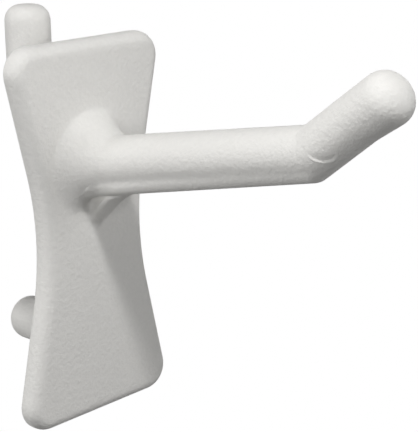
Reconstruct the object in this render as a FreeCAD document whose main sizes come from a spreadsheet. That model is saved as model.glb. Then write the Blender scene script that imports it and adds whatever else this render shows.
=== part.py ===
import FreeCAD, Part
import math
import os
import Sketcher

# A moulded pegboard hook in one piece.  Millimetres.  Z is up, the arm points to -Y and the pegs
# to +Y.  The back face of the plate, which rests on the board, lies in the plane Y = 0, and the
# middle of the plate is the origin.  The hook is the same on both sides of the plane X = 0.

# name, size, what it is (angles in degrees)
SIZES = [
    ("plate_width", 23.8, "plate across its corners, before they are rounded"),
    ("plate_height", 45.7, "plate from bottom to top"),
    ("plate_thickness", 2.7, "plate from back to front"),
    ("waist_width", 15.3, "plate at its narrow middle"),
    ("waist_radius", 36.0, "hollow curve on each side of the plate"),
    ("corner_radius", 3.0, "four corners of the plate"),
    ("front_edge_radius", 1.4, "soft edge around the front of the plate"),
    ("back_edge_bevel", 0.4, "small bevel around the back of the plate"),
    ("arm_height", 8.3, "where the arm's axis leaves the plate, above the plate's middle"),
    ("arm_tilt", 10.7, "rise of the arm above level"),
    ("arm_root_radius", 3.2, "arm where it leaves the plate"),
    ("arm_end_radius", 2.78, "arm at the bend"),
    ("arm_length", 33.2, "along the axis, from the plate to the corner of the two axes"),
    ("arm_blend_radius", 3.0, "flare from the plate into the arm"),
    ("bend_radius", 3.2, "axis of the arm in the bend"),
    ("upturn_angle", 37.9, "rise of the upturned end above level"),
    ("upturn_length", 6.1, "from the corner of the axes to the start of the knob"),
    ("knob_neck_radius", 2.73, "upturned end where the knob starts"),
    ("knob_length", 4.5, "flaring part of the knob"),
    ("knob_radius", 2.89, "knob at its widest"),
    ("knob_drop", 0.24, "how far the widest part sits below the axis"),
    ("knob_side_radius", 2.2, "rounding from the side of the knob to its end"),
    ("knob_crown_radius", 3.3, "gentle crown on the end of the knob"),
    ("rib_root_width", 5.2, "rib under the arm, at the plate"),
    ("rib_bend_width", 4.4, "rib under the arm, at the bend"),
    ("rib_tip_width", 4.2, "rib at its end, hidden in the knob"),
    ("rib_root_drop", 3.62, "bottom of the rib below the arm's axis, at the plate"),
    ("rib_bend_drop", 3.14, "bottom of the rib below the arm's axis, at the bend"),
    ("rib_tip_drop", 2.8, "bottom of the rib below the upturned axis, at its end"),
    ("rib_root_corner", 1.1, "rounding along the rib's bottom, at the plate"),
    ("rib_bend_corner", 2.0, "rounding along the rib's bottom, at the bend"),
    ("rib_tip_corner", 2.0, "rounding along the rib's bottom, at its end"),
    ("rib_top", 1.0, "top of the rib, hidden in the arm, above the axes"),
    ("rib_tip", 8.0, "end of the rib, along the upturned axis from the corner of the axes"),
    ("rib_blend_radius", 1.8, "flare from the plate into the rib"),
    ("web_thickness", 2.2, "web below the root of the arm"),
    ("web_foot_height", 0.8, "where the web's edge meets the plate, above the plate's middle"),
    ("web_angle", 42.0, "slope of the web's edge"),
    ("web_sweep_radius", 10.9, "hollow curve from the web's edge into the rib"),
    ("web_edge_radius", 1.0, "rounding along the web's edge"),
    ("web_blend_radius", 0.9, "fillet from the plate into the web"),
    ("web_tuck", 0.06, "how far the web's curve ends inside the rib"),
    ("web_reach", 14.0, "end of the web, hidden in the rib, along the arm from the plate"),
    ("peg_radius", 2.75, "both pegs, for holes of 6.35"),
    ("hole_spacing", 25.4, "from peg to peg, as on the board"),
    ("lower_peg_depth", 13.8, "lower peg's axis below the plate's middle"),
    ("lower_peg_length", 12.6, "lower peg behind the plate"),
    ("lower_peg_rounding", 1.95, "round end of the lower peg"),
    ("upper_peg_setback", 8.4, "upturned tip's axis behind the plate"),
    ("upper_peg_top", 26.1, "top of the upturned tip, above the plate's middle"),
    ("upper_peg_bend_radius", 6.4, "axis of the upper peg in its bend"),
    ("upper_peg_rounding", 1.9, "round edge at the top of the upper peg"),
]
size = {name: value for name, value, meaning in SIZES}

os.makedirs("parts", exist_ok=True)
doc = FreeCAD.newDocument("PegboardHook")
sheet = doc.addObject("Spreadsheet::Sheet", "Sizes")
for row, (name, value, meaning) in enumerate(SIZES, start=1):
    sheet.set("A%d" % row, name)
    sheet.set("B%d" % row, str(value))
    sheet.set("C%d" % row, meaning)
    sheet.setAlias("B%d" % row, name)
doc.recompute()


def sketch_on(body, name, role, across=None, up=None, out=None, turn=None, about=None):
    """A sketch on one of the body's planes, moved within it and turned by formulas."""
    sketch = body.newObject("Sketcher::SketchObject", name)
    sketch.AttachmentSupport = ([f for f in body.Origin.OriginFeatures if f.Role == role][0], [""])
    sketch.MapMode = "FlatFace"
    if turn:
        sketch.AttachmentOffset = FreeCAD.Placement(FreeCAD.Vector(0, 0, 0),
                                                    FreeCAD.Rotation(about, 10))
        sketch.setExpression("AttachmentOffset.Rotation.Angle", turn)
    for axis, formula in (("x", across), ("y", up), ("z", out)):
        if formula:
            sketch.setExpression("AttachmentOffset.Base." + axis, formula)
    return sketch


def number(sketch, formula):
    """The present value of a formula over the named sizes; angles in radians."""
    value = sketch.evalExpression(formula)
    if getattr(value, "Unit", None) == FreeCAD.Units.Angle:
        return math.radians(value.Value)
    return getattr(value, "Value", value)


def measure(sketch, name, kind, where, formula):
    """A dimension in a sketch, bound to a formula over the named sizes."""
    index = sketch.addConstraint(Sketcher.Constraint(kind, *where, number(sketch, formula)))
    sketch.renameConstraint(index, name)
    sketch.setExpression("Constraints." + name, formula)


def spot(x, y):
    return FreeCAD.Vector(x, y, 0)


def line(sketch, a, b, helper=False):
    return sketch.addGeometry(Part.LineSegment(spot(*a), spot(*b)), helper)


def circle(sketch, x, y, radius):
    return sketch.addGeometry(Part.Circle(spot(x, y), FreeCAD.Vector(0, 0, 1), radius), False)


def arc(sketch, x, y, radius, first, last):
    whole = Part.Circle(spot(x, y), FreeCAD.Vector(0, 0, 1), radius)
    return sketch.addGeometry(Part.ArcOfCircle(whole, first, last), False)


def rule(sketch, *words):
    sketch.addConstraint(Sketcher.Constraint(*words))


def edges(obj, wanted):
    return ["Edge%d" % (i + 1) for i, e in enumerate(obj.Shape.Edges) if wanted(e)]


def fillet(body, name, base, wanted, radius):
    made = body.newObject("PartDesign::Fillet", name)
    made.Base = (base, edges(base, wanted))
    made.setExpression("Radius", radius)
    doc.recompute()
    return made


def pad(body, name, sketch, length, backwards=False):
    made = body.newObject("PartDesign::Pad", name)
    made.Profile = sketch
    made.setExpression("Length", length)
    made.Reversed = backwards
    doc.recompute()
    return made


def revolve(body, name, sketch, axis, turn="360 deg"):
    made = body.newObject("PartDesign::Revolution", name)
    made.Profile = sketch
    made.ReferenceAxis = (sketch, [axis])
    made.setExpression("Angle", turn)
    doc.recompute()
    return made


def on_front(e):
    """Edges that lie in the front face of the plate."""
    box = e.BoundBox
    return abs(box.YMin + size["plate_thickness"]) < 1e-4 and box.YLength < 1e-4


# The arm lies in the plane X = 0.  A sketch beside the arm has its first axis along the arm and
# its second axis below it; a sketch across the arm has X and the direction above the arm.
Z_AXIS, BACK_X = FreeCAD.Vector(0, 0, 1), FreeCAD.Vector(-1, 0, 0)
TILT, RISE = "Sizes.arm_tilt * 1 deg", "Sizes.upturn_angle * 1 deg"
FRONT = "-Sizes.plate_thickness"


def point_y(along, below="0"):
    """Y of a point given along the arm's axis and below it."""
    return "%s - (%s) * cos(%s) - (%s) * sin(%s)" % (FRONT, along, TILT, below, TILT)


def point_z(along, below="0"):
    """Z of a point given along the arm's axis and below it."""
    return "Sizes.arm_height + (%s) * sin(%s) - (%s) * cos(%s)" % (along, TILT, below, TILT)


def beside(body, name, y, z, slope):
    return sketch_on(body, name, "YZ_Plane", y, z, None, "180 deg - (%s)" % slope, Z_AXIS)


def across(body, name, y, z, slope):
    return sketch_on(body, name, "XZ_Plane", None, z, "-(%s)" % y, slope, BACK_X)


def bar_profile(sketch, start, inner, end, outer):
    """Half of a tapered round bar over the first axis, with formulas for its ends and radii.

    The inner radius is the one at the origin.
    """
    x0, x1 = number(sketch, start), number(sketch, end)
    r0, r1 = number(sketch, inner), number(sketch, outer)
    far_r = r0 + (r0 - r1) * -x0 / x1
    back = line(sketch, (x0, 0), (x0, far_r))
    side = line(sketch, (x0, far_r), (x1, r1))
    last = line(sketch, (x1, r1), (x1, 0))
    rule(sketch, "Vertical", last)
    axis = line(sketch, (x1, 0), (x0, 0))
    gauge = line(sketch, (0, 0), (0, r0), True)
    rule(sketch, "Coincident", gauge, 1, -1, 1)
    rule(sketch, "PointOnObject", gauge, 2, -2)
    rule(sketch, "PointOnObject", gauge, 2, side)
    rule(sketch, "Vertical", back)
    rule(sketch, "Horizontal", axis)
    rule(sketch, "Coincident", back, 2, side, 1)
    rule(sketch, "Coincident", side, 2, last, 1)
    rule(sketch, "Coincident", axis, 1, last, 2)
    rule(sketch, "Coincident", axis, 2, back, 1)
    rule(sketch, "PointOnObject", back, 1, -1)
    measure(sketch, "sunk", "DistanceX", (back, 1, -1, 1), "-(%s)" % start)
    measure(sketch, "inner_radius", "DistanceY", (-1, 1, gauge, 2), inner)
    measure(sketch, "outer_radius", "DistanceY", (-1, 1, side, 2), outer)
    measure(sketch, "length", "DistanceX", (-1, 1, side, 2), end)


# The plate: an hourglass seen from the front, with rounded corners and softened edges.
hook = doc.addObject("PartDesign::Body", "Hook")
hook.Label = "pegboard_hook"
outline = sketch_on(hook, "PlateOutline", "XZ_Plane")
half_w, half_h = size["plate_width"] / 2, size["plate_height"] / 2
hollow = size["waist_radius"]
middle = size["waist_width"] / 2 + hollow
touch = (math.atan2(half_h, half_w - middle)
         + math.acos(hollow / math.hypot(middle - half_w, half_h)))
tx, tz = middle + hollow * math.cos(touch), hollow * math.sin(touch)
sides = [
    line(outline, (-half_w, half_h), (half_w, half_h)),
    line(outline, (half_w, half_h), (tx, tz)),
    arc(outline, middle, 0, hollow, touch, 2 * math.pi - touch),
    line(outline, (tx, -tz), (half_w, -half_h)),
    line(outline, (half_w, -half_h), (-half_w, -half_h)),
    line(outline, (-half_w, -half_h), (-tx, -tz)),
    arc(outline, -middle, 0, hollow, touch - math.pi, math.pi - touch),
    line(outline, (-tx, tz), (-half_w, half_h)),
]
top, right, foot, left = sides[0], sides[2], sides[4], sides[6]
for first, second in zip(sides, sides[1:] + sides[:1]):
    joint = "Coincident" if top in (first, second) or foot in (first, second) else "Tangent"
    rule(outline, joint, first, 2, second, 1)
rule(outline, "Symmetric", top, 1, top, 2, -2)
rule(outline, "Symmetric", foot, 1, foot, 2, -2)
rule(outline, "PointOnObject", right, 3, -1)
rule(outline, "PointOnObject", left, 3, -1)
measure(outline, "top_width", "DistanceX", (top, 1, top, 2), "Sizes.plate_width")
measure(outline, "foot_width", "DistanceX", (foot, 2, foot, 1), "Sizes.plate_width")
measure(outline, "top_height", "DistanceY", (-1, 1, top, 2), "Sizes.plate_height / 2")
measure(outline, "foot_depth", "DistanceY", (foot, 1, -1, 1), "Sizes.plate_height / 2")
measure(outline, "right_hollow", "Radius", (right,), "Sizes.waist_radius")
measure(outline, "left_hollow", "Radius", (left,), "Sizes.waist_radius")
WAIST = "Sizes.waist_width / 2 + Sizes.waist_radius"
measure(outline, "right_middle", "DistanceX", (-1, 1, right, 3), WAIST)
measure(outline, "left_middle", "DistanceX", (left, 3, -1, 1), WAIST)
plate = pad(hook, "Plate", outline, "Sizes.plate_thickness")
rounded = fillet(hook, "PlateCorners", plate,
                 lambda e: e.BoundBox.XLength + e.BoundBox.ZLength < 1e-4
                 and abs(e.BoundBox.Center.x) > half_w - 0.1, "Sizes.corner_radius")
softened = fillet(hook, "PlateFrontEdge", rounded, on_front, "Sizes.front_edge_radius")
back_edge = hook.newObject("PartDesign::Chamfer", "PlateBackEdge")
back_edge.Base = (softened, edges(softened, lambda e: abs(e.BoundBox.YMax) < 1e-4
                                  and e.BoundBox.YLength < 1e-4))
back_edge.setExpression("Size", "Sizes.back_edge_bevel")
doc.recompute()

# The arm: a tapered round bar that starts inside the plate and flares out of it.
SUNK = "-Sizes.plate_thickness / 2"
START = (point_y("0"), point_z("0"))
CORNER = (point_y("Sizes.arm_length"), point_z("Sizes.arm_length"))
REACH = "Sizes.bend_radius * tan((%s - %s) / 2)" % (RISE, TILT)
arm_side = beside(hook, "ArmProfile", *START, TILT)
BEND_AT = "Sizes.arm_length - " + REACH
bar_profile(arm_side, SUNK, "Sizes.arm_root_radius", BEND_AT, "Sizes.arm_end_radius")
arm = revolve(hook, "Arm", arm_side, "H_Axis")
root_reach = size["arm_root_radius"] + size["web_edge_radius"]


def around_root(e):
    """Edges where the plate's front meets the arm, the rib or the web."""
    return on_front(e) and abs(e.BoundBox.XMin) < root_reach and e.BoundBox.XMax < root_reach


fillet(hook, "ArmRootFlare", arm, around_root, "Sizes.arm_blend_radius")

# The bend, and the straight part of the upturned end.
ring = across(hook, "BendSection", point_y(BEND_AT), point_z(BEND_AT), TILT)
bend_ring = circle(ring, 0, 0, size["arm_end_radius"])
rule(ring, "Coincident", bend_ring, 3, -1, 1)
measure(ring, "radius", "Radius", (bend_ring,), "Sizes.arm_end_radius")
hinge_z = size["bend_radius"]
hinge = line(ring, (hinge_z, hinge_z), (-hinge_z, hinge_z), True)
rule(ring, "Horizontal", hinge)
measure(ring, "hinge_height", "DistanceY", (-1, 1, hinge, 1), "Sizes.bend_radius")
measure(ring, "hinge_right", "DistanceX", (-1, 1, hinge, 1), "Sizes.bend_radius")
measure(ring, "hinge_left", "DistanceX", (hinge, 2, -1, 1), "Sizes.bend_radius")
revolve(hook, "Bend", ring, "Axis0", "%s - %s" % (RISE, TILT))

end_side = beside(hook, "UpturnedProfile", *CORNER, RISE)
x0, x1 = number(end_side, REACH), size["upturn_length"]
r0, r1 = size["arm_end_radius"], size["knob_neck_radius"]
loop = [line(end_side, a, b) for a, b in (((x0, 0), (x0, r0)), ((x0, r0), (x1, r1)),
                                          ((x1, r1), (x1, 0)), ((x1, 0), (x0, 0)))]
for first, second in zip(loop, loop[1:] + loop[:1]):
    rule(end_side, "Coincident", first, 2, second, 1)
rule(end_side, "Vertical", loop[0])
rule(end_side, "Vertical", loop[2])
rule(end_side, "PointOnObject", loop[0], 1, -1)
rule(end_side, "PointOnObject", loop[2], 2, -1)
measure(end_side, "start", "DistanceX", (-1, 1, loop[0], 1), REACH)
measure(end_side, "end", "DistanceX", (-1, 1, loop[2], 2), "Sizes.upturn_length")
measure(end_side, "start_radius", "DistanceY", (-1, 1, loop[0], 2), "Sizes.arm_end_radius")
measure(end_side, "end_radius", "DistanceY", (-1, 1, loop[2], 1), "Sizes.knob_neck_radius")
revolve(hook, "UpturnedEnd", end_side, "H_Axis")


# The knob: it flares downwards, so that its top stays in line, and ends in a dome.
def past_corner(length):
    """Y and Z of a point on the upturned axis, given from the corner of the axes."""
    return ("%s - (%s) * cos(%s)" % (CORNER[0], length, RISE),
            "%s + (%s) * sin(%s)" % (CORNER[1], length, RISE))


WIDEST = "Sizes.upturn_length + Sizes.knob_length"
neck = across(hook, "KnobNeck", *past_corner("Sizes.upturn_length"), RISE)
neck_ring = circle(neck, 0, 0, size["knob_neck_radius"])
rule(neck, "Coincident", neck_ring, 3, -1, 1)
measure(neck, "radius", "Radius", (neck_ring,), "Sizes.knob_neck_radius")
wide = across(hook, "KnobWidest", *past_corner(WIDEST), RISE)
wide_ring = circle(wide, 0, -size["knob_drop"], size["knob_radius"])
rule(wide, "PointOnObject", wide_ring, 3, -2)
measure(wide, "drop", "DistanceY", (wide_ring, 3, -1, 1), "Sizes.knob_drop")
measure(wide, "radius", "Radius", (wide_ring,), "Sizes.knob_radius")
knob = hook.newObject("PartDesign::AdditiveLoft", "Knob")
knob.Profile = neck
knob.Sections = [wide]
knob.Ruled = True
doc.recompute()

dome_side = beside(hook, "KnobDomeProfile", *CORNER, RISE)
drop, widest = size["knob_drop"], number(dome_side, WIDEST)
r, r_side, r_crown = size["knob_radius"], size["knob_side_radius"], size["knob_crown_radius"]
crown_x = widest - math.sqrt((r_crown - r_side) ** 2 - (r - r_side) ** 2)
lean = math.atan2(r - r_side, widest - crown_x)
meet = (crown_x + r_crown * math.cos(lean), drop + r_crown * math.sin(lean))
axis = line(dome_side, (widest, drop), (crown_x + r_crown, drop), True)
face = line(dome_side, (widest, drop), (widest, drop + r))
side_arc = arc(dome_side, widest, drop + r - r_side, r_side, lean, math.pi / 2)
crown = arc(dome_side, crown_x, drop, r_crown, 0, lean)
core = line(dome_side, (crown_x + r_crown, drop), (widest, drop))
rule(dome_side, "Vertical", face)
rule(dome_side, "Horizontal", core)
rule(dome_side, "Coincident", face, 2, side_arc, 2)
rule(dome_side, "Tangent", side_arc, 1, crown, 2)
rule(dome_side, "Coincident", crown, 1, core, 1)
rule(dome_side, "Coincident", core, 2, face, 1)
rule(dome_side, "Coincident", axis, 1, core, 2)
rule(dome_side, "Coincident", axis, 2, core, 1)
rule(dome_side, "PointOnObject", side_arc, 3, face)
rule(dome_side, "PointOnObject", crown, 3, axis)
measure(dome_side, "drop", "DistanceY", (-1, 1, face, 1), "Sizes.knob_drop")
measure(dome_side, "start", "DistanceX", (-1, 1, face, 1), WIDEST)
measure(dome_side, "widest_radius", "DistanceY", (face, 1, face, 2), "Sizes.knob_radius")
measure(dome_side, "side_radius", "Radius", (side_arc,), "Sizes.knob_side_radius")
measure(dome_side, "crown_radius", "Radius", (crown,), "Sizes.knob_crown_radius")
revolve(hook, "KnobDome", dome_side, "Axis0")


# The pegs behind the plate.  The lower one is straight; the upper one turns up behind the board.
LOWER_Z = "-Sizes.lower_peg_depth"
UPPER_Z = "Sizes.hole_spacing - Sizes.lower_peg_depth"
rings = {}
for name, height in (("LowerPeg", LOWER_Z), ("UpperPeg", UPPER_Z)):
    rings[name] = sketch_on(hook, name + "Section", "XZ_Plane", None, height)
    peg_ring = circle(rings[name], 0, 0, size["peg_radius"])
    rule(rings[name], "Coincident", peg_ring, 3, -1, 1)
    measure(rings[name], "radius", "Radius", (peg_ring,), "Sizes.peg_radius")


def round_end(name, y, z, rounding, turn=None):
    """The round end of a peg, which starts at Y, Z and points along Y, or turned up from it."""
    sketch = sketch_on(hook, name + "Profile", "YZ_Plane", y, z, None, turn, Z_AXIS)
    r, q = size["peg_radius"], number(sketch, rounding)
    first = line(sketch, (0, 0), (0, r))
    curve = arc(sketch, 0, r - q, q, 0, math.pi / 2)
    face = line(sketch, (q, r - q), (q, 0))
    core = line(sketch, (q, 0), (0, 0))
    rule(sketch, "Coincident", first, 1, -1, 1)
    rule(sketch, "Vertical", first)
    rule(sketch, "Coincident", first, 2, curve, 2)
    rule(sketch, "PointOnObject", curve, 3, first)
    rule(sketch, "Vertical", face)
    rule(sketch, "Tangent", curve, 1, face, 1)
    rule(sketch, "Coincident", face, 2, core, 1)
    rule(sketch, "Coincident", core, 2, first, 1)
    rule(sketch, "Horizontal", core)
    measure(sketch, "radius", "DistanceY", (first, 1, first, 2), "Sizes.peg_radius")
    measure(sketch, "rounding", "Radius", (curve,), rounding)
    revolve(hook, name, sketch, "H_Axis")


LOWER_STEM = "Sizes.lower_peg_length - Sizes.lower_peg_rounding"
UPPER_STEM = "Sizes.upper_peg_top - Sizes.upper_peg_rounding"
pad(hook, "LowerPeg", rings["LowerPeg"], LOWER_STEM, True)
round_end("LowerPegEnd", LOWER_STEM, LOWER_Z, "Sizes.lower_peg_rounding")

spine = sketch_on(hook, "UpperPegAxis", "YZ_Plane", None, UPPER_Z)
back, bow = size["upper_peg_setback"], size["upper_peg_bend_radius"]
rise_by = number(spine, "%s - (%s)" % (UPPER_STEM, UPPER_Z))
out = line(spine, (0, 0), (back - bow, 0))
curve = arc(spine, back - bow, bow, bow, -math.pi / 2, 0)
climb = line(spine, (back, bow), (back, rise_by))
rule(spine, "Horizontal", out)
rule(spine, "Vertical", climb)
rule(spine, "Coincident", out, 1, -1, 1)
rule(spine, "Tangent", out, 2, curve, 1)
rule(spine, "Tangent", curve, 2, climb, 1)
measure(spine, "bend", "Radius", (curve,), "Sizes.upper_peg_bend_radius")
measure(spine, "setback", "DistanceX", (-1, 1, climb, 2), "Sizes.upper_peg_setback")
measure(spine, "rise", "DistanceY", (-1, 1, climb, 2), "%s - (%s)" % (UPPER_STEM, UPPER_Z))
upper = hook.newObject("PartDesign::AdditivePipe", "UpperPeg")
upper.Profile = rings["UpperPeg"]
upper.Spine = spine
doc.recompute()
round_end("UpperPegEnd", "Sizes.upper_peg_setback", UPPER_STEM, "Sizes.upper_peg_rounding", "90 deg")


# The rib and the web under the arm each flare out of a piece of the plate of their own, so that
# the two flares and the arm's flare run into one another with creases, as the moulding has them.
def root_piece(name):
    """A body that starts with the piece of the plate around the root of the arm."""
    body = doc.addObject("PartDesign::Body", name)
    sketch = sketch_on(body, name + "Piece", "XZ_Plane")
    half = "Sizes.arm_root_radius + Sizes.rib_blend_radius"
    above = "Sizes.arm_height + %s" % half
    below = "Sizes.web_blend_radius - Sizes.web_foot_height"
    x, high, low = number(sketch, half), number(sketch, above), -number(sketch, below)
    loop = [line(sketch, a, b) for a, b in (((-x, low), (x, low)), ((x, low), (x, high)),
                                            ((x, high), (-x, high)), ((-x, high), (-x, low)))]
    for first, second in zip(loop, loop[1:] + loop[:1]):
        rule(sketch, "Coincident", first, 2, second, 1)
    rule(sketch, "Vertical", loop[1])
    rule(sketch, "Symmetric", loop[0], 1, loop[0], 2, -2)
    rule(sketch, "Symmetric", loop[2], 1, loop[2], 2, -2)
    measure(sketch, "half_width", "DistanceX", (-1, 1, loop[0], 2), half)
    measure(sketch, "above", "DistanceY", (-1, 1, loop[2], 1), above)
    measure(sketch, "below", "DistanceY", (loop[0], 1, -1, 1), below)
    pad(body, name + "Plate", sketch, "Sizes.plate_thickness")
    return body


# The rib: a keel with rounded corners, whose lower part shows below the arm.  Towards the bend it
# gets narrower, shallower and rounder.  There it turns up, and runs on faintly into the knob.
rib = root_piece("Rib")


def rib_section(name, y, z, slope, width, bottom, corner):
    """A section of the rib across an axis: a rectangle with round corners."""
    sketch = across(rib, name, y, z, slope)
    half = number(sketch, "(%s) / 2" % width)
    low, high, r = -number(sketch, bottom), size["rib_top"], number(sketch, corner)
    quarter = math.pi / 2
    loop = [
        line(sketch, (r - half, low), (half - r, low)),
        arc(sketch, half - r, low + r, r, -quarter, 0),
        line(sketch, (half, low + r), (half, high - r)),
        arc(sketch, half - r, high - r, r, 0, quarter),
        line(sketch, (half - r, high), (r - half, high)),
        arc(sketch, r - half, high - r, r, quarter, 2 * quarter),
        line(sketch, (-half, high - r), (-half, low + r)),
        arc(sketch, r - half, low + r, r, 2 * quarter, 3 * quarter),
    ]
    for first, second in zip(loop, loop[1:] + loop[:1]):
        rule(sketch, "Tangent", first, 2, second, 1)
    rule(sketch, "Vertical", loop[2])
    rule(sketch, "Horizontal", loop[4])
    rule(sketch, "Vertical", loop[6])
    for later in (3, 5, 7):
        rule(sketch, "Equal", loop[1], loop[later])
    rule(sketch, "Symmetric", loop[0], 1, loop[0], 2, -2)
    measure(sketch, "corner", "Radius", (loop[1],), corner)
    measure(sketch, "half_width", "DistanceX", (-1, 1, loop[2], 1), "(%s) / 2" % width)
    measure(sketch, "bottom", "DistanceY", (loop[0], 1, -1, 1), bottom)
    measure(sketch, "top", "DistanceY", (-1, 1, loop[4], 1), "Sizes.rib_top")
    return sketch


def inside_plate(root, bend):
    """A size of the rib halfway into the plate, in line with those at the plate and the bend."""
    return "%s + (%s - %s) * Sizes.plate_thickness / 2 / Sizes.arm_length" % (root, root, bend)


sunk_rib = rib_section("RibSunkEnd", point_y(SUNK), point_z(SUNK), TILT,
                       inside_plate("Sizes.rib_root_width", "Sizes.rib_bend_width"),
                       inside_plate("Sizes.rib_root_drop", "Sizes.rib_bend_drop"),
                       inside_plate("Sizes.rib_root_corner", "Sizes.rib_bend_corner"))
at_bend = rib_section("RibAtBend", *CORNER, TILT, "Sizes.rib_bend_width",
                      "Sizes.rib_bend_drop", "Sizes.rib_bend_corner")
in_knob = rib_section("RibInKnob", *past_corner("Sizes.rib_tip"), RISE,
                      "Sizes.rib_tip_width", "Sizes.rib_tip_drop", "Sizes.rib_tip_corner")
bar = rib.newObject("PartDesign::AdditiveLoft", "RibBar")
bar.Profile = sunk_rib
bar.Sections = [at_bend, in_knob]
bar.Ruled = True
doc.recompute()
fillet(rib, "RibFlare", bar, around_root, "Sizes.rib_blend_radius")

# The web: a thin wall under the root of the rib, with a hollow edge that runs up into the rib.
web = root_piece("Web")
web_side = sketch_on(web, "WebProfile", "YZ_Plane")
RIB_SLOPE = "(Sizes.rib_root_drop - Sizes.rib_bend_drop) / Sizes.arm_length"
RIB_RISE = "%s + atan(%s)" % (TILT, RIB_SLOPE)
SINK = "Sizes.rib_root_drop - %s * Sizes.web_reach - Sizes.web_tuck" % RIB_SLOPE
slope, rib_rise = math.radians(size["web_angle"]), number(web_side, RIB_RISE)
thick, sweep = size["plate_thickness"], size["web_sweep_radius"]
end = (number(web_side, point_y("Sizes.web_reach", SINK)),
       number(web_side, point_z("Sizes.web_reach", SINK)))
# The edge's two straight lines meet at a corner, which the hollow curve cuts off.
base = (-thick, size["web_foot_height"])
gap = (end[0] - base[0], end[1] - base[1])
run = ((gap[1] * math.cos(rib_rise) + gap[0] * math.sin(rib_rise))
       / math.sin(slope - rib_rise))
cut = sweep * math.tan((slope - rib_rise) / 2)
tip_at = (base[0] - run * math.cos(slope), base[1] + run * math.sin(slope))
from_edge = (tip_at[0] + cut * math.cos(slope), tip_at[1] - cut * math.sin(slope))
to_rib = (tip_at[0] - cut * math.cos(rib_rise), tip_at[1] + cut * math.sin(rib_rise))
hub = (from_edge[0] - sweep * math.sin(slope), from_edge[1] - sweep * math.cos(slope))
above_end = (number(web_side, point_y("Sizes.web_reach")),
             number(web_side, point_z("Sizes.web_reach")))
inside = (-thick / 2, base[1] - thick / 2 * math.tan(slope))
wall = [
    line(web_side, inside, from_edge),
    arc(web_side, hub[0], hub[1], sweep, math.pi / 2 - slope, math.pi / 2 - rib_rise),
    line(web_side, to_rib, end),
    line(web_side, end, above_end),
    line(web_side, above_end, (-thick / 2, size["arm_height"])),
    line(web_side, (-thick / 2, size["arm_height"]), inside),
]
for first, second in zip(wall, wall[1:] + wall[:1]):
    joint = "Tangent" if wall[1] in (first, second) else "Coincident"
    rule(web_side, joint, first, 2, second, 1)
rule(web_side, "Vertical", wall[5])
foot_mark = line(web_side, base, (-thick, 0), True)
rule(web_side, "PointOnObject", foot_mark, 2, -1)
rule(web_side, "Vertical", foot_mark)
rule(web_side, "PointOnObject", foot_mark, 1, wall[0])
measure(web_side, "face", "DistanceX", (foot_mark, 1, -1, 1), "Sizes.plate_thickness")
measure(web_side, "foot", "DistanceY", (-1, 1, foot_mark, 1), "Sizes.web_foot_height")
measure(web_side, "slope", "Angle", (wall[0],), "180 deg - Sizes.web_angle * 1 deg")
measure(web_side, "sweep", "Radius", (wall[1],), "Sizes.web_sweep_radius")
measure(web_side, "end_y", "DistanceX", (wall[3], 1, -1, 1),
        "-(%s)" % point_y("Sizes.web_reach", SINK))
measure(web_side, "end_z", "DistanceY", (-1, 1, wall[3], 1), point_z("Sizes.web_reach", SINK))
measure(web_side, "end_slope", "Angle", (wall[2],), "180 deg - (%s)" % RIB_RISE)
measure(web_side, "upper_y", "DistanceX", (wall[3], 2, -1, 1),
        "-(%s)" % point_y("Sizes.web_reach"))
measure(web_side, "upper_z", "DistanceY", (-1, 1, wall[3], 2), point_z("Sizes.web_reach"))
measure(web_side, "sunk_y", "DistanceX", (wall[5], 1, -1, 1), "Sizes.plate_thickness / 2")
measure(web_side, "sunk_z", "DistanceY", (-1, 1, wall[5], 1), "Sizes.arm_height")
web_wall = web.newObject("PartDesign::Pad", "WebWall")
web_wall.Profile = web_side
web_wall.setExpression("Length", "Sizes.web_thickness")
web_wall.Midplane = True
doc.recompute()


def along_edge(e):
    """The long lower edges of the web's two faces, in front of the plate."""
    box = e.BoundBox
    if box.XLength > 1e-4 or box.YMin > -size["plate_thickness"] - 0.1:
        return False
    steep = abs(e.tangentAt(e.FirstParameter).dot(up_from_arm)) > 0.99
    axis_z = size["arm_height"] - (box.Center.y + size["plate_thickness"]) * math.tan(tilt)
    return not steep and box.Center.z < axis_z - size["arm_root_radius"] / 2


tilt = number(web_side, TILT)
up_from_arm = FreeCAD.Vector(0, math.sin(tilt), math.cos(tilt))
soft_web = fillet(web, "WebEdge", web_wall, along_edge, "Sizes.web_edge_radius")
fillet(web, "WebRoot", soft_web, around_root, "Sizes.web_blend_radius")

# One moulding: the rib and the web are fused with the rest.
whole = hook.newObject("PartDesign::Boolean", "Moulding")
whole.Type = "Fuse"
whole.setObjects([rib, web])
doc.recompute()

for obj in doc.Objects:
    if {"Invalid", "Error"} & set(obj.State):
        raise RuntimeError("%s did not build" % obj.Label)
    if hasattr(obj, "Shape") and (obj.Shape.isNull() or not obj.Shape.isValid()):
        raise RuntimeError("%s has no sound shape" % obj.Label)
if len(hook.Shape.Solids) != 1:
    raise RuntimeError("the hook is not one solid")
hook.Shape.exportStep("parts/%s.step" % hook.Label)
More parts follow.
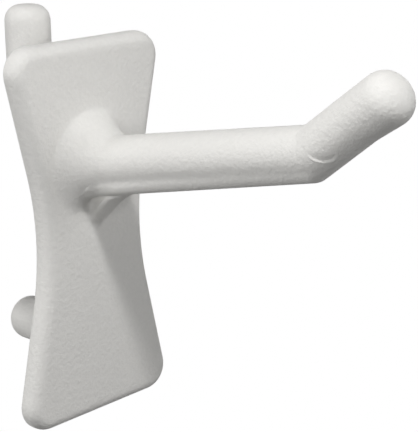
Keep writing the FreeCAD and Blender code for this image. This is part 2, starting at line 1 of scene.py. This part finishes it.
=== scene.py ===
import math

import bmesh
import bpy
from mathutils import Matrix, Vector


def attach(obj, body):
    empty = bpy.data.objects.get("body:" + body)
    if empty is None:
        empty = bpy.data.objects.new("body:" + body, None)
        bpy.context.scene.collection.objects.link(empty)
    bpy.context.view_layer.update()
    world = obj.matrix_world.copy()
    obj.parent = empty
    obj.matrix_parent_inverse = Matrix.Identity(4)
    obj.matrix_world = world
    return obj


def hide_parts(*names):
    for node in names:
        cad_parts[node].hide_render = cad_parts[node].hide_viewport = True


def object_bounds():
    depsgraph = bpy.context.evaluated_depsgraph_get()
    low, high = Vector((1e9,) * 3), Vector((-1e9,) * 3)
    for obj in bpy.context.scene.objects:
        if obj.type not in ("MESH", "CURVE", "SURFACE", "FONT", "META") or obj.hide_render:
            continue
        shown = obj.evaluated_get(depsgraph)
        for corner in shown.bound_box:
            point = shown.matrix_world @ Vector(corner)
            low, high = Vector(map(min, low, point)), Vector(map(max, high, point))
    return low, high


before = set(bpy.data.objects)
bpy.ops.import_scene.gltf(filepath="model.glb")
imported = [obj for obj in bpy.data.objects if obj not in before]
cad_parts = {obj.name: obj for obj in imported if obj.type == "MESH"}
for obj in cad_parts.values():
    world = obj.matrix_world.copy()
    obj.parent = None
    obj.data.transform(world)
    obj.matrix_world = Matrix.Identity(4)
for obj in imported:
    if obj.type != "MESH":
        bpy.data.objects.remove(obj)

# %% [markdown]
# # A moulded pegboard hook
# The hook is one piece of white plastic, made by injection moulding.  A plate rests on the front of
# a pegboard, two pegs go through the board's holes, and an arm in front carries a tool.
# The CAD model gives its form at its real size: Z is up, the arm points to -Y, and the middle of
# the plate's back is the origin.  This script adds what the eye needs to believe it: the soft
# creases of a moulding, its fine grain, the mark of the mould's pin, and a plain studio.

MM = 0.001
HOOK = "pegboard_hook"
cad_box = [list(corner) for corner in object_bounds()]
print("CAD box in mm:", [[round(c / MM, 2) for c in corner] for corner in cad_box])

# %% [markdown]
# ## The camera
# A photograph is matched in two steps.  First the direction: the camera stands to the left of the
# hook, a little above it.  Then the distance, because a near camera makes near things look larger,
# and here the tip of the arm is much nearer than the plate.  The lens follows from the distance.
# The camera is set by an aim point, two angles, a small roll and a distance, because each of these
# can be judged and changed alone.

# %% Camera
AIM = Vector((2.05, -18.75, 4.40)) * MM
AZIMUTH = math.radians(-47.03)
ELEVATION = math.radians(15.62)
ROLL = math.radians(-0.84)
DISTANCE = 149.5 * MM
LENS_MM = 112.4
NEAREST_SEEN = 5 * MM

back = Vector((math.sin(AZIMUTH) * math.cos(ELEVATION),
               -math.cos(AZIMUTH) * math.cos(ELEVATION),
               math.sin(ELEVATION)))
level = Vector((math.cos(AZIMUTH), math.sin(AZIMUTH), 0))
rise = back.cross(level)
right = level * math.cos(ROLL) + rise * math.sin(ROLL)
up = rise * math.cos(ROLL) - level * math.sin(ROLL)

camera_data = bpy.data.cameras.new("Camera")
camera_data.lens = LENS_MM
camera_data.clip_start = NEAREST_SEEN
camera = bpy.data.objects.new("Camera", camera_data)
bpy.context.scene.collection.objects.link(camera)
turn = Matrix((right, up, back)).transposed().to_4x4()
camera.matrix_world = Matrix.Translation(AIM + back * DISTANCE) @ turn
bpy.context.scene.camera = camera
print("camera at", [round(c / MM, 1) for c in camera.location], "mm, lens", LENS_MM, "mm")

# %% [markdown]
# ## The white studio
# The hook stands before plain white, with no edge between floor and wall.  A white that is lit
# can't stay even, so the world shows a plain white to the camera and to reflections, and lights the
# hook as a dim grey.  Light Path's outputs tell the two uses apart.

# %% White world
WHITE = (1.0, 1.0, 1.0, 1.0)
SKY_GREY = (0.048, 0.048, 0.050, 1.0)


def seen_directly(nodes, links):
    """1 where the camera, a reflection or a clear material looks straight at a surface."""
    path = nodes.new("ShaderNodeLightPath")
    mirrored = nodes.new("ShaderNodeMath")
    mirrored.operation = "MAXIMUM"
    either = nodes.new("ShaderNodeMath")
    either.operation = "MAXIMUM"
    links.new(path.outputs["Is Glossy Ray"], mirrored.inputs[0])
    links.new(path.outputs["Is Transmission Ray"], mirrored.inputs[1])
    links.new(path.outputs["Is Camera Ray"], either.inputs[0])
    links.new(mirrored.outputs[0], either.inputs[1])
    return either.outputs[0]


world = bpy.data.worlds.new("Studio")
bpy.context.scene.world = world
world.use_nodes = True
nodes, links = world.node_tree.nodes, world.node_tree.links
nodes.clear()
seen = nodes.new("ShaderNodeBackground")
seen.inputs["Color"].default_value = WHITE
lighting = nodes.new("ShaderNodeBackground")
lighting.inputs["Color"].default_value = SKY_GREY
choose = nodes.new("ShaderNodeMixShader")
world_out = nodes.new("ShaderNodeOutputWorld")
links.new(seen_directly(nodes, links), choose.inputs["Fac"])
links.new(lighting.outputs[0], choose.inputs[1])
links.new(seen.outputs[0], choose.inputs[2])
links.new(choose.outputs[0], world_out.inputs["Surface"])
bpy.context.scene.view_settings.view_transform = "Standard"
print("world: white to the camera, grey as light")

# %% [markdown]
# ## The floor
# The hook hangs in the air, as it does on its board, and a pale floor lies well below it.  The
# floor is white where it is seen and keeps a soft shadow under the hook: there a part of its white
# is real light on a matt surface, and further out all of it is plain white, so no edge shows.
# To the lamps it is a dark grey, because in the photograph no light comes up from below.  From
# below it is clear, so that the hook's underside can be looked at too.

# %% Floor
FLOOR_Z = -100 * MM
FLOOR_RADIUS = 2.0
FLOOR_SEGMENTS = 96
SHADOW_RADIUS = 0.11
SHADOW_CORE = 0.35 * SHADOW_RADIUS
MATT_WHITE = (0.8, 0.8, 0.8, 1)
SHADOW_GLOW = 0.50
FLOOR_GREY = (0.10, 0.10, 0.10, 1)

bm = bmesh.new()
bmesh.ops.create_circle(bm, cap_ends=True, segments=FLOOR_SEGMENTS, radius=FLOOR_RADIUS)
floor_mesh = bpy.data.meshes.new("studio_floor")
bm.to_mesh(floor_mesh)
bm.free()
floor = bpy.data.objects.new("studio_floor", floor_mesh)
floor.location = (0, 0, FLOOR_Z)
bpy.context.scene.collection.objects.link(floor)

paint = bpy.data.materials.new("floor_paint")
paint.use_nodes = True
nodes, links = paint.node_tree.nodes, paint.node_tree.links
nodes.clear()
place = nodes.new("ShaderNodeTexCoord")
reach = nodes.new("ShaderNodeVectorMath")
reach.operation = "LENGTH"
fade = nodes.new("ShaderNodeMapRange")
fade.interpolation_type = "SMOOTHSTEP"
fade.inputs["From Min"].default_value = SHADOW_CORE
fade.inputs["From Max"].default_value = SHADOW_RADIUS
matt = nodes.new("ShaderNodeBsdfDiffuse")
matt.inputs["Color"].default_value = MATT_WHITE
half_white = nodes.new("ShaderNodeEmission")
half_white.inputs["Strength"].default_value = SHADOW_GLOW
lit_white = nodes.new("ShaderNodeAddShader")
plain_white = nodes.new("ShaderNodeEmission")
plain_white.inputs["Strength"].default_value = 1.0
near_or_far = nodes.new("ShaderNodeMixShader")
dark_grey = nodes.new("ShaderNodeBsdfDiffuse")
dark_grey.inputs["Color"].default_value = FLOOR_GREY
seen_or_not = nodes.new("ShaderNodeMixShader")
sides = nodes.new("ShaderNodeNewGeometry")
clear = nodes.new("ShaderNodeBsdfTransparent")
one_sided = nodes.new("ShaderNodeMixShader")
floor_out = nodes.new("ShaderNodeOutputMaterial")
for source, target in (
        (place.outputs["Object"], reach.inputs[0]),
        (reach.outputs["Value"], fade.inputs["Value"]),
        (matt.outputs[0], lit_white.inputs[0]),
        (half_white.outputs[0], lit_white.inputs[1]),
        (fade.outputs["Result"], near_or_far.inputs["Fac"]),
        (lit_white.outputs[0], near_or_far.inputs[1]),
        (plain_white.outputs[0], near_or_far.inputs[2]),
        (seen_directly(nodes, links), seen_or_not.inputs["Fac"]),
        (dark_grey.outputs[0], seen_or_not.inputs[1]),
        (near_or_far.outputs[0], seen_or_not.inputs[2]),
        (sides.outputs["Backfacing"], one_sided.inputs["Fac"]),
        (seen_or_not.outputs[0], one_sided.inputs[1]),
        (clear.outputs[0], one_sided.inputs[2]),
        (one_sided.outputs[0], floor_out.inputs["Surface"])):
    links.new(source, target)
floor_mesh.materials.append(paint)
print("floor", round(FLOOR_Z / MM), "mm below the plate's middle")

# %% [markdown]
# ## The lamps
# The photograph has one fairly small lamp high on the left, which throws the arm's shadow across
# the plate with an edge that is crisp near the web and soft further down.  A wider lamp at the
# camera's own height fills the plate's front and the arm's side.  Two large ones, left and right
# of the hook, lift its edges and open its shadow, and a weak one behind keeps the back readable.

# %% Soft lamps
def soft_lamp(name, azimuth, elevation, distance_mm, width_mm, strength):
    """A square area lamp that looks at the hook from a direction given in degrees.

    The strength is the light that arrives: the power grows with the square of the distance.
    """
    data = bpy.data.lights.new(name, "AREA")
    data.shape = "SQUARE"
    data.size = width_mm * MM
    data.energy = strength * 4 * math.pi * (distance_mm * MM) ** 2
    lamp = bpy.data.objects.new(name, data)
    a, e = math.radians(azimuth), math.radians(elevation)
    away = Vector((math.sin(a) * math.cos(e), -math.cos(a) * math.cos(e), math.sin(e)))
    lamp.location = AIM + away * distance_mm * MM
    lamp.rotation_euler = away.to_track_quat("Z", "Y").to_euler()
    bpy.context.scene.collection.objects.link(lamp)
    print("lamp", name, "at", azimuth, elevation, "with", round(data.energy, 3), "W")


soft_lamp("Key", azimuth=-35, elevation=58, distance_mm=200, width_mm=24, strength=0.42)
soft_lamp("Front", azimuth=-60, elevation=10, distance_mm=200, width_mm=60, strength=0.18)
soft_lamp("Left", azimuth=-120, elevation=15, distance_mm=500, width_mm=300, strength=0.358)
soft_lamp("Right", azimuth=30, elevation=15, distance_mm=500, width_mm=300, strength=0.24)
soft_lamp("Back", azimuth=150, elevation=-10, distance_mm=500, width_mm=150, strength=0.08)

# %% [markdown]
# ## The moulding
# Plastic can't fill a sharp corner of its mould, and a mould's own corners are worn round, so every
# crease of a moulding is soft.  The CAD solid has the exact form with sharp creases where its arm,
# rib and web meet.  A voxel remesh turns it into even small faces, and a few rounds of smoothing
# then melt each crease a little, and leave wide curves as they are.

# %% A soft copy of the CAD form
VOXEL = 0.22 * MM
SMOOTH_ROUNDS = 6
SMOOTH_FACTOR = 0.5

cad_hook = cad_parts[HOOK]
moulding = bpy.data.objects.new("hook_moulding", cad_hook.data.copy())
bpy.context.scene.collection.objects.link(moulding)
remesh = moulding.modifiers.new("Even faces", "REMESH")
remesh.mode = "VOXEL"
remesh.voxel_size = VOXEL
soften = moulding.modifiers.new("Soft creases", "SMOOTH")
soften.factor = SMOOTH_FACTOR
soften.iterations = SMOOTH_ROUNDS
depsgraph = bpy.context.evaluated_depsgraph_get()
soft_mesh = bpy.data.meshes.new_from_object(moulding.evaluated_get(depsgraph))
moulding.modifiers.clear()
moulding.data = soft_mesh
print("moulding:", len(soft_mesh.polygons), "faces")

# %% [markdown]
# The forms that follow are all made in one way: each point of the mesh is moved by an amount that
# depends on where it lies, and the amounts start and end softly.  So these helpers come first: a
# soft step, a soft hill, some rounds of smoothing, and where a point lies as seen from the arm.

# %% Helpers for moving points
PLATE_FRONT = -2.7 * MM
AXIS_HEIGHT = 8.3 * MM
AXIS_RISE = math.tan(math.radians(10.7))


def ease(low, high, value):
    """0 below low, 1 above high, and a soft step between them."""
    t = min(max((value - low) / (high - low), 0), 1)
    return t * t * (3 - 2 * t)


def hill(centre, reach, value):
    """1 at the centre, and softly down to 0 at its reach on both sides."""
    off = (value - centre) / reach
    return (1 - off * off) ** 2 if abs(off) < 1 else 0


def smooth(bm, verts, rounds):
    """Move each point towards the middle of its neighbours, some rounds long."""
    for _ in range(rounds):
        bmesh.ops.smooth_vert(bm, verts=verts, factor=SMOOTH_FACTOR,
                              use_axis_x=True, use_axis_y=True, use_axis_z=True)


def around_axis(point):
    """How far a point stands out from the plate, and its way from the arm's axis."""
    out = PLATE_FRONT - point.y
    return out, Vector((point.x, 0, point.z - AXIS_HEIGHT - AXIS_RISE * out))


print("the arm's axis starts", round(AXIS_HEIGHT / MM, 1), "mm above the plate's middle")

# %% [markdown]
# ## The arm's flare
# Where the arm leaves the plate, the real flare is fuller than a plain round fillet, and meets the
# plate in a line that can be seen, above all on the upper side.  A profile says how far the flare
# stands out from the plate at each distance from the arm's axis.  Each point that lies below that
# profile is pushed out along its own normal until it reaches it.  How much of that push a point
# gets depends on its side, an angle around the axis: 0 above, 90 on the right, -90 on the left.
# Each pair of angles below says where a change starts and where it is complete.
# The push is full above, a little less on the left, where it goes on down to the start of the rib,
# and it ends on the right before the underside.  The right side is also narrower, so there the
# points that stand out too far are drawn back in.

# %% Fill the flare out
BAR_RADIUS = 3.2 * MM
FLARE_RADIUS = 6.6 * MM
FLARE_REACH = 3.6 * MM
FLARE_POWER = 1.45
NARROWER_RIGHT = 2.0 * MM
NARROWER_BELOW = 1.5 * MM
LESS_ON_LEFT = 0.35
RIGHT_NARROWS, BELOW_NARROWS = (15, 75), (140, 175)
RIGHT_ENDS, LEFT_THINS, LEFT_ENDS = (85, 125), (10, 60), (130, 172)
DRAW_IN = (15, 40)
FLAT_PART = 0.01 * MM
BEHIND_FRONT = 0.2 * MM
MOST_IN = 0.6 * MM
MOST_OUT = 2 * MM
HALVINGS = 16


def below_flare(point):
    """How far a point lies below the flare's profile, along the way out of the plate."""
    out, way = around_axis(point)
    side = math.degrees(math.atan2(way.x, way.z))
    foot = FLARE_RADIUS - NARROWER_RIGHT * ease(*RIGHT_NARROWS, side) \
        - NARROWER_BELOW * ease(*BELOW_NARROWS, -side)
    share = min(max((foot - way.length) / (foot - BAR_RADIUS), 0), 1)
    return FLARE_REACH * share ** FLARE_POWER - out


def share_out(side):
    """How much of the push outwards a point gets, by its side."""
    if side > 0:
        return 1 - ease(*RIGHT_ENDS, side)
    return 1 - LESS_ON_LEFT * ease(*LEFT_THINS, -side) \
        - (1 - LESS_ON_LEFT) * ease(*LEFT_ENDS, -side)


def share_in(side):
    """How much of the way back in a point gets, by its side."""
    return ease(*DRAW_IN, side) * (1 - ease(*RIGHT_ENDS, side))


bm = bmesh.new()
bm.from_mesh(soft_mesh)
bm.normal_update()
moves = []
for vert in bm.verts:
    out, way = around_axis(vert.co)
    if not -BEHIND_FRONT < out < FLARE_REACH or way.length > FLARE_RADIUS:
        continue
    side = math.degrees(math.atan2(way.x, way.z))
    low, high = -MOST_IN, MOST_OUT
    for _ in range(HALVINGS):
        middle = (low + high) / 2
        if below_flare(vert.co + vert.normal * middle) > 0:
            low = middle
        else:
            high = middle
    share = share_out(side) if low > 0 else share_in(side) if out >= FLAT_PART else 0
    moves.append((vert, vert.normal * (low * share)))
for vert, move in moves:
    vert.co += move
smooth(bm, [vert for vert, _ in moves], 1)
print("pushed", len(moves), "points of the flare, at most",
      round(max(move.length for _, move in moves) / MM, 2), "mm")

# %% [markdown]
# On its lower left the flare runs out on the rib's side.  Its profile ends there in a crease, which
# the moulding doesn't have, so the points around that place are smoothed some rounds more.

# %% Soften the flare's end on the rib
RUN_OUT = (2.2 * MM, 5.4 * MM)
RIB_SIDE = -1.2 * MM
BELOW_AXIS = -1.5 * MM
RUN_OUT_ROUNDS = 12

run_out = []
for vert in bm.verts:
    out, way = around_axis(vert.co)
    if RUN_OUT[0] < out < RUN_OUT[1] and way.x < RIB_SIDE and way.z < BELOW_AXIS:
        run_out.append(vert)
smooth(bm, run_out, RUN_OUT_ROUNDS)
print("smoothed", len(run_out), "points on the rib's side")

# %% [markdown]
# ## The web's sides
# The photograph shows a light streak along the web, just above its free edge, and a darker hollow
# behind it.  So the web's two sides aren't flat: there is a bead near the edge, the edge itself is
# rounder, and the side sinks in a little between the bead and the plate.  Points of the two sides
# move only sideways, by an amount that depends on how far above the web's edge they lie.  The edge
# is a straight slope that ends in a wide hollow curve, so the curve's sag is added to the height.

# %% Shape the web's sides
WEB_FOOT = 0.8 * MM
WEB_SLOPE = math.radians(42)
WEB_SWEEP = 10.9 * MM
SWEEP_START = 4.4 * MM
WEB_REACH = 8 * MM
WEB_HALF = 1.6 * MM
RIB_BOTTOM = -3.6 * MM
RIB_NEAR = -4.1 * MM
BEAD_HEIGHT = 0.50 * MM
BEAD_ABOVE, BEAD_WIDTH = 0.80 * MM, 0.85 * MM
BEAD_STARTS = (1.2 * MM, 4 * MM)
WEB_ENDS = (6.5 * MM, 9 * MM)
HOLLOW_DEPTH = 0.10 * MM
HOLLOW_ABOVE, HOLLOW_WIDTH = 2.0 * MM, 1.0 * MM
HOLLOW_STARTS = (0.3 * MM, 1.2 * MM)
EDGE_ROUNDING = 0.20
EDGE_HEIGHT = 0.7 * MM
SIDE_STARTS = (0.2 * MM, 0.7 * MM)

moves = []
for vert in bm.verts:
    out, way = around_axis(vert.co)
    if not 0 < out < WEB_REACH or abs(vert.co.x) > WEB_HALF or way.z > RIB_BOTTOM:
        continue
    climb = vert.co.z - WEB_FOOT
    along = out * math.cos(WEB_SLOPE) + climb * math.sin(WEB_SLOPE)
    above = climb * math.cos(WEB_SLOPE) - out * math.sin(WEB_SLOPE) \
        + max(along - SWEEP_START, 0) ** 2 / (2 * WEB_SWEEP)
    not_at_end = 1 - ease(*WEB_ENDS, along)
    bead = BEAD_HEIGHT * hill(BEAD_ABOVE, BEAD_WIDTH, above) \
        * ease(*BEAD_STARTS, along) * not_at_end
    hollow = HOLLOW_DEPTH * hill(HOLLOW_ABOVE, HOLLOW_WIDTH, above) * ease(*HOLLOW_STARTS, out)
    shift = (bead - hollow) * (1 - ease(RIB_NEAR, RIB_BOTTOM, way.z)) \
        * ease(*SIDE_STARTS, abs(vert.co.x))
    rounder = EDGE_ROUNDING * (1 - ease(0, EDGE_HEIGHT, above)) * not_at_end
    moves.append((vert, vert.co.x * (1 - rounder) + math.copysign(shift, vert.co.x)))
for vert, side in moves:
    vert.co.x = side
bm.to_mesh(soft_mesh)
bm.free()
print("shaped the web's sides at", len(moves), "points")

# %% [markdown]
# ## The pin's mark
# When the mould opens, pins push the moulding out.  One of them pressed on the side of the upturned
# end, and left a round mark there: a disc less than a tenth of a millimetre deep, with a low lip.
# It is strongest below, where the pin pushed hardest.  The mark is finer than the faces of the
# remesh, so the faces around it are divided first, and then the points move along their normals.

# %% Divide the faces around the mark
PIN_CENTRE = Vector((0, -37.87, 15.83)) * MM
PIN_RADIUS = 1.65 * MM
AROUND_PIN = PIN_RADIUS + 0.5 * MM
LEFT_SIDE = -1.0 * MM
CUTS = 3


def from_pin(point):
    """The way from the pin's axis, which runs along X, to a point."""
    return Vector((0, point.y - PIN_CENTRE.y, point.z - PIN_CENTRE.z))


bm = bmesh.new()
bm.from_mesh(soft_mesh)
near_pin = [edge for edge in bm.edges
            if all(vert.co.x < LEFT_SIDE and from_pin(vert.co).length < AROUND_PIN
                   for vert in edge.verts)]
bmesh.ops.subdivide_edges(bm, edges=near_pin, cuts=CUTS, use_grid_fill=True)
bm.normal_update()
print("divided", len(near_pin), "edges")

# %% Press the mark in
PIN_DEPTH = 0.08 * MM
LIP_HEIGHT = 0.04 * MM
LIP_WIDTH = 0.10 * MM
LIP_PLACE = PIN_RADIUS + 0.12 * MM
RIM = (PIN_RADIUS - 0.16 * MM, PIN_RADIUS + 0.06 * MM)
FAINTEST = 0.12
STRONGER_FROM, STRONGEST_FROM = 0.35, 0.95

moves = []
for vert in bm.verts:
    way = from_pin(vert.co)
    if vert.co.x > LEFT_SIDE or way.length > AROUND_PIN:
        continue
    strength = FAINTEST + (1 - FAINTEST) * ease(STRONGER_FROM, STRONGEST_FROM,
                                                -way.z / PIN_RADIUS)
    disc = 1 - ease(*RIM, way.length)
    lip = math.exp(-((way.length - LIP_PLACE) / LIP_WIDTH) ** 2)
    moves.append((vert, vert.normal * (LIP_HEIGHT * lip - PIN_DEPTH * disc) * strength))
for vert, move in moves:
    vert.co += move
bm.to_mesh(soft_mesh)
bm.free()
print("moved", len(moves), "points, at most",
      round(max(move.length for _, move in moves) / MM, 3), "mm")

# %% [markdown]
# The remesh can leave a point a ten-thousandth of a millimetre outside the CAD model's box, and
# the sizes have to agree, so each point is brought back to the box.  Then the mesh takes the
# CAD hook's place.

# %% Shade it smooth and put it in the hook's place
for vert in soft_mesh.vertices:
    vert.co = [min(max(where, low), high) for where, low, high in zip(vert.co, *cad_box)]
soft_mesh.polygons.foreach_set("use_smooth", [True] * len(soft_mesh.polygons))
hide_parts(HOOK)
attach(moulding, "root")
print("it stands for", HOOK)

# %% [markdown]
# ## The grain of a mould
# The mould's steel was finished by sparks, which leave a field of tiny craters, and the plastic
# copies them as a fine even grain.  It takes the shine off, and at arm's length it shows as a
# faint mottle.  The grain is a node group, because it is one effect with a few numbers: two
# noises, one as fine as the craters and one for the slow unevenness of the plastic's flow.

# %% A node group for moulded grain
CRATER_DETAIL, CLOUD_DETAIL = 2, 3
NOISE_ROUGHNESS = 0.6
CLOUDS_IN_HEIGHT = 0.35
CLOUDS_IN_TONE = 0.30


def noise(tree, detail):
    """A noise on the object's own coordinates, so the grain stays with the plastic."""
    node = tree.nodes.new("ShaderNodeTexNoise")
    node.inputs["Detail"].default_value = detail
    node.inputs["Roughness"].default_value = NOISE_ROUGHNESS
    return node


grain = bpy.data.node_groups.new("moulded_grain", "ShaderNodeTree")
for name, direction in (("Grains per metre", "INPUT"), ("Clouds per metre", "INPUT"),
                        ("Height", "OUTPUT"), ("Cloud", "OUTPUT"), ("Tone", "OUTPUT")):
    grain.interface.new_socket(name=name, in_out=direction, socket_type="NodeSocketFloat")
given = grain.nodes.new("NodeGroupInput")
result = grain.nodes.new("NodeGroupOutput")
spot = grain.nodes.new("ShaderNodeTexCoord")
craters = noise(grain, CRATER_DETAIL)
clouds = noise(grain, CLOUD_DETAIL)
height = grain.nodes.new("ShaderNodeMath")
height.operation = "MULTIPLY_ADD"
height.inputs[1].default_value = CLOUDS_IN_HEIGHT
both = grain.nodes.new("ShaderNodeMix")
both.inputs["Factor"].default_value = CLOUDS_IN_TONE
for source, target in (
        (spot.outputs["Object"], craters.inputs["Vector"]),
        (given.outputs["Grains per metre"], craters.inputs["Scale"]),
        (spot.outputs["Object"], clouds.inputs["Vector"]),
        (given.outputs["Clouds per metre"], clouds.inputs["Scale"]),
        (clouds.outputs["Fac"], height.inputs[0]),
        (craters.outputs["Fac"], height.inputs[2]),
        (height.outputs[0], result.inputs["Height"]),
        (clouds.outputs["Fac"], result.inputs["Cloud"]),
        (craters.outputs["Fac"], both.inputs["A"]),
        (clouds.outputs["Fac"], both.inputs["B"]),
        (both.outputs["Result"], result.inputs["Tone"])):
    grain.links.new(source, target)
print("made the group", grain.name)

# %% [markdown]
# ## The plastic
# The hook is white, a little warm, and matt.  A perfectly even colour would look like a drawing, so
# the grain and the clouds move it by a few parts in a hundred, and the clouds move its roughness
# too.  It reflects less than plain plastic does, because the craters' walls shade one another.

# %% Plastic material
GRAINS_PER_METRE = 2100
CLOUDS_PER_METRE = 700
DARKER_WHITE = (0.757, 0.748, 0.722, 1)
LIGHTER_WHITE = (0.863, 0.852, 0.822, 1)
ROUGHNESS = (0.50, 0.60)
CLOUD_RANGE = (0.3, 0.7)
SPECULAR_LEVEL = 0.20
GRAIN_DEPTH = 0.08 * MM

plastic = bpy.data.materials.new("moulded_plastic_white")
plastic.use_nodes = True
nodes, links = plastic.node_tree.nodes, plastic.node_tree.links
shader = nodes["Principled BSDF"]
shader.inputs["Specular IOR Level"].default_value = SPECULAR_LEVEL
pattern = nodes.new("ShaderNodeGroup")
pattern.node_tree = grain
pattern.inputs["Grains per metre"].default_value = GRAINS_PER_METRE
pattern.inputs["Clouds per metre"].default_value = CLOUDS_PER_METRE

tone = nodes.new("ShaderNodeMix")
tone.data_type = "RGBA"
tone.inputs["A"].default_value = DARKER_WHITE
tone.inputs["B"].default_value = LIGHTER_WHITE
links.new(pattern.outputs["Tone"], tone.inputs["Factor"])
links.new(tone.outputs["Result"], shader.inputs["Base Color"])

matness = nodes.new("ShaderNodeMapRange")
matness.inputs["From Min"].default_value, matness.inputs["From Max"].default_value = CLOUD_RANGE
matness.inputs["To Min"].default_value, matness.inputs["To Max"].default_value = ROUGHNESS
links.new(pattern.outputs["Cloud"], matness.inputs["Value"])
links.new(matness.outputs["Result"], shader.inputs["Roughness"])

relief = nodes.new("ShaderNodeBump")
relief.inputs["Strength"].default_value = 1.0
relief.inputs["Distance"].default_value = GRAIN_DEPTH
links.new(pattern.outputs["Height"], relief.inputs["Height"])
links.new(relief.outputs["Normal"], shader.inputs["Normal"])
moulding.data.materials.clear()
moulding.data.materials.append(plastic)
print("dressed", moulding.name, "in", plastic.name)
